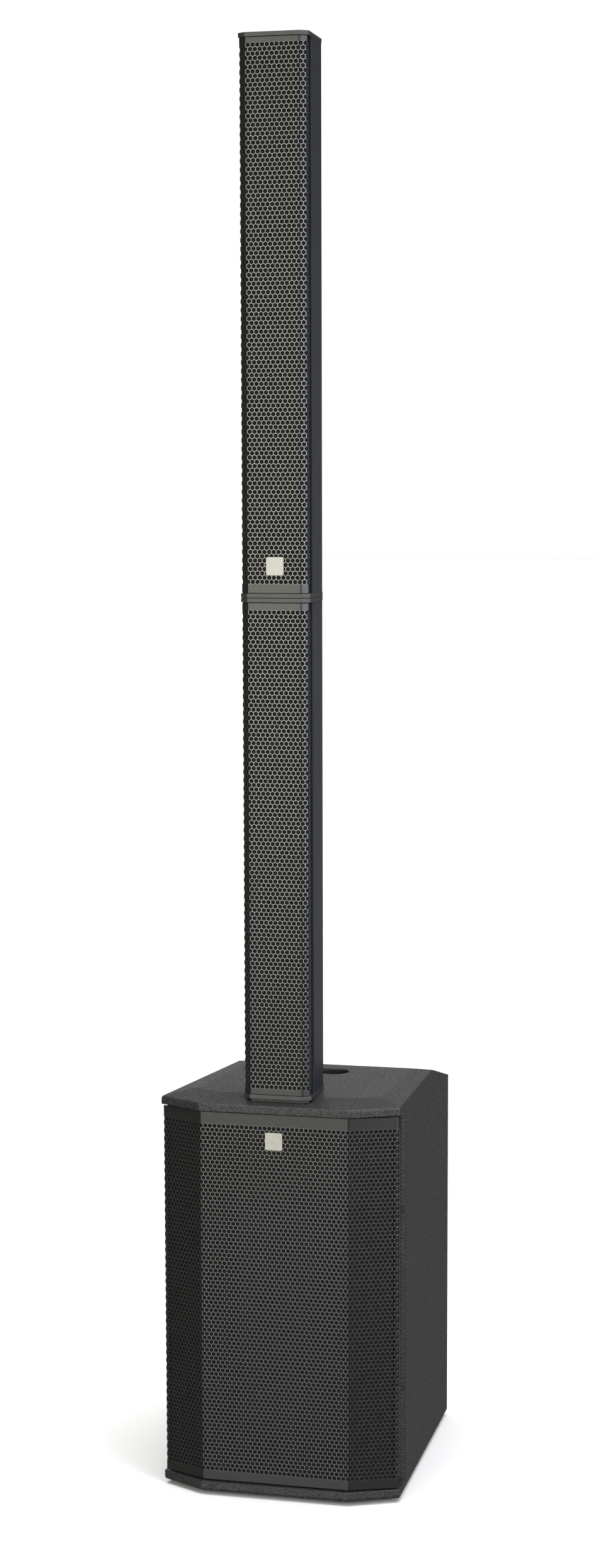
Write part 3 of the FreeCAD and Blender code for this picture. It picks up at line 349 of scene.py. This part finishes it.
def metal_material(name, color, roughness, stretch=(1, 1, 1)):
    """Bare or plated metal with fine drawn lines."""
    paint = Paint(name, color, roughness, Metallic=1.0)
    paint.soft_edges(0.2 * MM)
    lines = paint.noise(0.5 * MM, 4.0, stretch)
    paint.color(paint.ramp(lines, tint(color, 0.85), tint(color, 1.1)))
    paint.roughness(paint.span(lines, roughness - 0.08, roughness + 0.08))
    paint.bump(lines, 0.02 * MM, 0.5)
    return paint.mat


def badge_material():
    """Smooth ivory lacquer, faintly uneven."""
    color = (0.42, 0.405, 0.345)
    paint = Paint("badge_ivory", color, 0.32, Coat_Weight=0.3)
    paint.soft_edges(0.6 * MM)
    cloud = paint.noise(9 * MM, 3.0)
    paint.color(paint.ramp(cloud, tint(color, 0.94), tint(color, 1.03)))
    paint.roughness(paint.span(cloud, 0.27, 0.38))
    paint.bump(paint.noise(1.5 * MM, 2.0), 0.02 * MM, 0.3)
    return paint.mat


def board_material():
    """Circuit board: green mask with lighter tracks."""
    color = (0.012, 0.075, 0.03)
    paint = Paint("circuit_board", color, 0.4)
    tracks = paint.noise(6 * MM, 1.0, (1, 1, 4))
    paint.color(paint.ramp(tracks, color, (0.03, 0.14, 0.06), (0.5, 0.52)))
    paint.roughness(paint.span(tracks, 0.35, 0.5))
    paint.bump(tracks, 0.05 * MM, 0.4)
    return paint.mat


MATERIALS = {
    "cabinet_paint": cabinet_paint(),
    "black_plastic": moulded("black_plastic", (0.016, 0.016, 0.017), 0.5),
    "grille_steel": satin_coat("grille_steel", (0.014, 0.014, 0.0133), 0.3),
    "punched_steel": punched_steel(),
    "foam": foam_material(),
    "badge_ivory": badge_material(),
    "rubber": rubber_material("rubber", (0.02, 0.02, 0.02), 0.7),
    "black_steel": satin_coat("black_steel", (0.02, 0.02, 0.021), 0.45),
    "cone_paper": paper_material(),
    "copper_wire": metal_material("copper_wire", (0.62, 0.3, 0.16), 0.35, stretch=(1, 8, 1)),
    "surround_rubber": rubber_material("surround_rubber", (0.018, 0.018, 0.018), 0.5),
    "spider_cloth": cloth_material(),
    "screw_steel": metal_material("screw_steel", (0.09, 0.09, 0.095), 0.38),
    "panel_aluminium": anodised("panel_aluminium", (0.035, 0.035, 0.037), 0.42, stretch=(1, 1, 12)),
    "bare_steel": metal_material("bare_steel", (0.5, 0.5, 0.49), 0.4, stretch=(1, 1, 5)),
    "circuit_board": board_material(),
    "sink_aluminium": anodised("sink_aluminium", (0.03, 0.03, 0.032), 0.4, stretch=(1, 1, 0.2)),
    "knob_plastic": moulded("knob_plastic", (0.02, 0.02, 0.022), 0.55),
    "control_plastic": moulded("control_plastic", (0.04, 0.04, 0.045), 0.5),
    "latch_plastic": moulded("latch_plastic", (0.36, 0.02, 0.015), 0.4),
    "rocker_plastic": moulded("rocker_plastic", (0.015, 0.015, 0.015), 0.2, grain=2.0 * MM, depth=0.01 * MM),
    "housing_aluminium": anodised("housing_aluminium", (0.031, 0.038, 0.052), 0.36, stretch=(1, 1, 0.05)),
    "cap_plastic": moulded("cap_plastic", (0.035, 0.035, 0.034), 0.42,
                           grain=1.0 * MM, depth=0.1 * MM, edge=0.8 * MM),
    "plug_plastic": moulded("plug_plastic", (0.03, 0.03, 0.033), 0.5),
    "horn_plastic": moulded("horn_plastic", (0.02, 0.02, 0.022), 0.45),
    "panel_print": moulded("panel_print", (0.55, 0.55, 0.53), 0.6,
                           grain=0.5 * MM, depth=0.01 * MM, edge=0.05 * MM),
}


def paint_nodes():
    """Every CAD node takes the material of its slot in the record."""
    for part in frame["record"]["subparts"]:
        node = NODES[part["node"]]
        node.data.materials.clear()
        node.data.materials.append(MATERIALS[part["material_slot"]])


# ---- building pieces ----
def finish_mesh(name, bm):
    mesh = bpy.data.meshes.new(name)
    bm.to_mesh(mesh)
    bm.free()
    return mesh


def add_piece(name, mesh, body, slot, *replaced, material=None):
    """A piece that rides on a body, has its slot's material unless told, and may stand for CAD nodes."""
    piece = bpy.data.objects.new(name, mesh)
    bpy.context.scene.collection.objects.link(piece)
    mesh.materials.append(MATERIALS[material or slot])
    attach(piece, body)
    if replaced:
        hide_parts(*replaced)
    return piece


class FoldedPath:
    """The outer face of a folded sheet seen from above: a line with round bends, measured from the middle.

    corners are those of the right half, and the left half mirrors them. fold is how far from the
    middle the outermost bend is.
    """

    STEPS = 5

    def __init__(self, corners, bend):
        self.points = []
        half = [Vector(c) for c in corners]
        mirrored = [Vector((-c.x, c.y)) for c in reversed(half)]
        line = mirrored + half
        for i, corner in enumerate(line):
            if i in (0, len(line) - 1):
                along = (line[1] - corner) if i == 0 else (corner - line[-2])
                self.points.append((corner, self.outward(along)))
            else:
                self.add_bend(line[i - 1], corner, line[i + 1], bend)
        self.at = [0.0]
        for (a, _), (b, _) in zip(self.points, self.points[1:]):
            self.at.append(self.at[-1] + (b - a).length)
        self.length = self.at[-1]
        self.fold = self.length / 2 - (half[-1] - half[-2]).length

    @staticmethod
    def outward(along):
        return Vector((along.y, -along.x)).normalized()

    def add_bend(self, before, corner, after, radius):
        a = (before - corner).normalized()
        b = (after - corner).normalized()
        half_turn = (math.pi - a.angle(b)) / 2
        reach = radius * math.tan(half_turn)
        start, end = corner + a * reach, corner + b * reach
        n0, n1 = self.outward(-a), self.outward(b)
        centre = start - n0 * radius
        for k in range(self.STEPS + 1):
            n = n0.lerp(n1, k / self.STEPS).normalized()
            self.points.append((centre + n * radius, n))

    def place(self, u):
        """Position and outward normal at u metres to the right of the middle."""
        want = min(max(u + self.length / 2, 0.0), self.length)
        i = 0
        while i < len(self.at) - 2 and self.at[i + 1] < want:
            i += 1
        t = (want - self.at[i]) / (self.at[i + 1] - self.at[i])
        (p, n), (q, m) = self.points[i], self.points[i + 1]
        return p.lerp(q, t), n.lerp(m, t).normalized()


def hexagon(u, z, radius):
    """Corners of a hexagon that stands on a corner."""
    return [(u + radius * math.sin(math.radians(60 * k)), z + radius * math.cos(math.radians(60 * k)))
            for k in range(6)]


def grille_path(grille):
    corners = [Vector((x * MM, CAB_FRONT + depth * MM)) for x, depth in grille.corners]
    return FoldedPath(corners, grille.bend)


def grille_sheet(grille):
    """A folded sheet with hexagonal holes and plain bands, in place of the plain CAD sheet."""
    node = grille.element + "_grille"
    low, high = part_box(node)
    path = grille_path(grille)
    half = path.length / 2
    top_row = high.z - grille.top_band
    bm = bmesh.new()
    made = {}

    def vert(u, z):
        """The vertex at a place, shared by all the faces that meet there."""
        key = (round(u * 1e6), round(z * 1e6))
        if key not in made:
            made[key] = bm.verts.new((u, z, 0))
        return made[key]

    webs(bm, vert, grille.rows, top_row, half)
    bands(bm, vert, grille.rows, top_row, (low.z, high.z), half - grille.side)
    thicken_and_fold(bm, path, grille.sheet)
    name = node + "_sheet"
    piece = add_piece(name, finish_mesh(name, bm), grille.body, "grille_steel", node)
    piece.data.materials.append(MATERIALS["punched_steel"])


def webs(bm, vert, rows, top_row, half):
    """The steel around each hole, in staggered rows as wide as whole cells allow."""
    columns = int(half / PITCH)
    for j in range(rows):
        z = top_row - j * ROW
        shift = 0.5 * (j % 2)
        for i in range(-columns - 1, columns + 1):
            u = (i + shift) * PITCH
            if abs(u) + PITCH / 2 > half:
                continue
            outer = [vert(*p) for p in hexagon(u, z, CELL_R)]
            inner = [vert(*p) for p in hexagon(u, z, HOLE_R)]
            for k in range(6):
                web = bm.faces.new((outer[k], inner[k], inner[(k + 1) % 6], outer[(k + 1) % 6]))
                web.material_index = 1


def bands(bm, vert, rows, top_row, edge_z, band_half):
    """Plain strips above the first row of holes and below the last, joined to the rows' zigzag edges.

    edge_z is the sheet's bottom and top, and the strips reach band_half to each side.
    """
    low_row = top_row - (rows - 1) * ROW
    count = int(band_half / (PITCH / 2))
    stops = [-band_half] + [i * PITCH / 2 for i in range(-count, count + 1)] + [band_half]
    above = (top_row, edge_z[1], 1, 0)
    below = (low_row, edge_z[0], -1, (rows - 1) % 2)
    for row_z, edge, up, shift in (above, below):

        def zigzag(u):
            off = abs((u / PITCH + 0.5 * shift + 0.5) % 1 - 0.5)
            return row_z + up * CELL_R * (1 - off)

        for u0, u1 in zip(stops, stops[1:]):
            corners = [vert(u0, zigzag(u0)), vert(u1, zigzag(u1)), vert(u1, edge), vert(u0, edge)]
            if up < 0:
                corners.reverse()
            bm.faces.new(corners)


def thicken_and_fold(bm, path, thickness):
    """Gives the flat (u, z) sheet its thickness and folds it along the path."""
    front = list(bm.faces)
    bmesh.ops.recalc_face_normals(bm, faces=front)
    edges = [e for e in bm.edges if len(e.link_faces) == 1]
    rim = [(*e.verts, e.link_faces[0].material_index) for e in edges]
    back = {}
    for v in list(bm.verts):
        p, n = path.place(v.co.x)
        inner = p - n * thickness
        z = v.co.y
        back[v] = bm.verts.new((inner.x, inner.y, z))
        v.co = (p.x, p.y, z)
    for f in front:
        bm.faces.new([back[v] for v in reversed(f.verts)]).material_index = f.material_index
    for a, b, index in rim:
        bm.faces.new((a, b, back[b], back[a])).material_index = index
    bmesh.ops.recalc_face_normals(bm, faces=bm.faces)


def foam_layer(name, path, foam, spans, z0, z1, body, *replaced):
    """A soft foam sheet, slightly uneven, behind a grille's outer face over the given spans of its path.

    At the grille's outer folds it is pressed forward into the holes.
    """
    bm = bmesh.new()
    up = int((z1 - z0) / FOAM_STEP_UP)
    for start, end in spans:
        across = max(int((end - start) / FOAM_STEP_ACROSS), FOAM_LEAST_ACROSS)
        rows = []
        for j in range(up + 1):
            z = z0 + (z1 - z0) * j / up
            rows.append([])
            for i in range(across + 1):
                u = start + (end - start) * i / across
                p, n = path.place(u)
                swell = FOAM_SWELL * math.sin(u * FOAM_WAVES[0]) * math.sin(z * FOAM_WAVES[1])
                away = min(max(abs(abs(u) - path.fold) / FOAM_PRESSED_SPAN - 0.5, 0.0), 1.0)
                p = p - n * (FOAM_PRESSED + (foam.inset - FOAM_PRESSED) * away + swell)
                rows[-1].append(bm.verts.new((p.x, p.y, z)))
        for j in range(up):
            for i in range(across):
                bm.faces.new((rows[j][i], rows[j][i + 1], rows[j + 1][i + 1], rows[j + 1][i]))
    piece = add_piece(name, finish_mesh(name, bm), body, "foam", *replaced)
    solid = piece.modifiers.new("thickness", "SOLIDIFY")
    solid.thickness = foam.thickness
    solid.offset = -1
    piece.data.polygons.foreach_set("use_smooth", [True] * len(piece.data.polygons))


def sub_foams():
    """Foam behind the front of the bass grille, and a thin lining inside its returns."""
    low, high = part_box("sub_grille_foam")
    path = grille_path(SUB_GRILLE)
    end = path.length / 2
    front = end - SUB_FOAM_SIDE
    lining = front + RETURN_FOAM_GAP
    sides = [(-end, -lining), (lining, end)]
    foam_layer("sub_foam", path, SUB_FOAM, [(-front, front)], low.z, high.z, "base", "sub_grille_foam")
    foam_layer("sub_return_foam", path, RETURN_FOAM, sides, low.z, high.z, "base")


def column_foam(grille):
    low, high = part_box(grille.element + "_grille")
    path = grille_path(grille)
    end = path.length / 2 - COLUMN_FOAM_SIDE
    foam_layer(grille.element + "_foam", path, COLUMN_FOAM, [(-end, end)],
               low.z - COLUMN_FOAM_OVER, high.z + COLUMN_FOAM_OVER, grille.body)


def knob_scales():
    """Printed tick marks round each knob: short ones, and a longer one at each end and in the middle."""
    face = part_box("amp_panel")[1].y
    bm = bmesh.new()
    for knob in KNOBS:
        low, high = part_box(knob)
        place = ((low.x + high.x) / 2, face + MARK_DEPTH / 2, (low.z + high.z) / 2)
        for k in range(SCALE_MARKS):
            angle = math.radians(SCALE_START + SCALE_STEP * k)
            length = MARK_LONG if k in SCALE_LONG else MARK_SHORT
            mark = bmesh.ops.create_cube(bm, size=1.0)["verts"]
            bmesh.ops.scale(bm, verts=mark, vec=(MARK_WIDTH, MARK_DEPTH, length))
            bmesh.ops.translate(bm, verts=mark, vec=(0, 0, SCALE_R + length / 2))
            bmesh.ops.rotate(bm, verts=mark, cent=(0, 0, 0), matrix=Matrix.Rotation(angle, 3, "Y"))
            bmesh.ops.translate(bm, verts=mark, vec=place)
    mesh = finish_mesh("knob_scales", bm)
    add_piece("knob_scales", mesh, "base", "panel_aluminium", material="panel_print")


# ---- stage ----
def floor():
    """A white floor, left out of reflections and bounced light, so that the world alone sets them."""
    bpy.ops.mesh.primitive_plane_add(size=FLOOR_SIZE, location=FLOOR_MIDDLE)
    plane = bpy.context.object
    plane.name = "floor"
    paint = Paint("floor_white", (0.97, 0.97, 0.97), 0.85)
    paint.roughness(paint.span(paint.noise(0.4, 2.0), 0.8, 0.9))
    plane.data.materials.append(paint.mat)
    plane.visible_glossy = False
    plane.visible_diffuse = False


def softbox(box):
    light = bpy.data.lights.new(box.name, "AREA")
    light.shape = "RECTANGLE"
    light.size, light.size_y = box.size
    light.energy = box.radiance * math.pi * box.size[0] * box.size[1]
    light.color = box.color
    place_lamp(box.name, light, box.place, box.aim)


def place_lamp(name, light, place, aim):
    lamp = bpy.data.objects.new(name, light)
    lamp.location = place
    lamp.rotation_euler = (Vector(aim) - Vector(place)).to_track_quat("-Z", "Y").to_euler()
    bpy.context.scene.collection.objects.link(lamp)


def world():
    """White behind the object, dim at its sides and on the left, and dark below but for a lit front."""
    made = bpy.data.worlds.new("studio")
    bpy.context.scene.world = made
    made.use_nodes = True
    tree = made.node_tree
    direction = tree.nodes.new("ShaderNodeTexCoord").outputs["Generated"]
    split = tree.nodes.new("ShaderNodeSeparateXYZ")
    tree.links.new(direction, split.inputs[0])
    back = facing(tree, direction, BACK_HEADING)
    front = facing(tree, direction, FRONT_HEADING)
    sides = world_step(tree, split.outputs["X"], LEFT_EDGE, WORLD_LEFT, WORLD_SIDES)
    around = world_step(tree, split.outputs["Y"], REAR_EDGE, sides, WORLD_REAR)
    above = world_step(tree, back, BACK_EDGE, around, WORLD_BACK)
    below = world_step(tree, front, FRONT_EDGE, WORLD_BELOW, WORLD_BELOW_FRONT)
    level = world_step(tree, split.outputs["Z"], HORIZON, below, above)
    tree.links.new(level, tree.nodes["Background"].inputs["Color"])


def facing(tree, direction, towards):
    """Cosine between a direction and a fixed one."""
    dot = tree.nodes.new("ShaderNodeVectorMath")
    dot.operation = "DOT_PRODUCT"
    dot.inputs[1].default_value = towards
    tree.links.new(direction, dot.inputs[0])
    return dot.outputs["Value"]


def world_step(tree, value, at, low, high):
    """Blends between two levels, each a grey number or a socket, as value crosses the range at."""
    step = tree.nodes.new("ShaderNodeMapRange")
    step.interpolation_type = "SMOOTHSTEP"
    step.inputs["From Min"].default_value = at[0]
    step.inputs["From Max"].default_value = at[1]
    for socket, level in (("To Min", low), ("To Max", high)):
        if isinstance(level, float):
            step.inputs[socket].default_value = level
        else:
            tree.links.new(level, step.inputs[socket])
    tree.links.new(value, step.inputs["Value"])
    return step.outputs["Result"]


def lights():
    """A wide soft sun overhead, and three softboxes."""
    overhead = bpy.data.lights.new("overhead", "SUN")
    overhead.energy = SUN_STRENGTH
    overhead.angle = math.radians(SUN_WIDTH)
    place_lamp("overhead", overhead, SUN_PLACE, (0, 0, 0))
    for box in SOFTBOXES:
        softbox(box)


def camera():
    data = bpy.data.cameras.new("camera")
    data.lens = CAMERA_LENS
    data.sensor_width = CAMERA_SENSOR
    data.shift_y = CAMERA_SHIFT_Y
    cam = bpy.data.objects.new("camera", data)
    turn = Matrix.Rotation(math.radians(CAMERA_AZIMUTH), 4, "Z")
    tip = Matrix.Rotation(math.radians(90 - CAMERA_PITCH), 4, "X")
    roll = Matrix.Rotation(math.radians(CAMERA_ROLL), 4, "Z")
    cam.matrix_world = Matrix.Translation(CAMERA_PLACE) @ turn @ tip @ roll
    bpy.context.scene.collection.objects.link(cam)
    bpy.context.scene.camera = cam


paint_nodes()
for each in (SUB_GRILLE, *COLUMN_GRILLES):
    grille_sheet(each)
sub_foams()
for each in COLUMN_GRILLES:
    column_foam(each)
knob_scales()
floor()
world()
lights()
camera()
bpy.context.scene.view_settings.view_transform = "Standard"


bpy.context.view_layer.update()
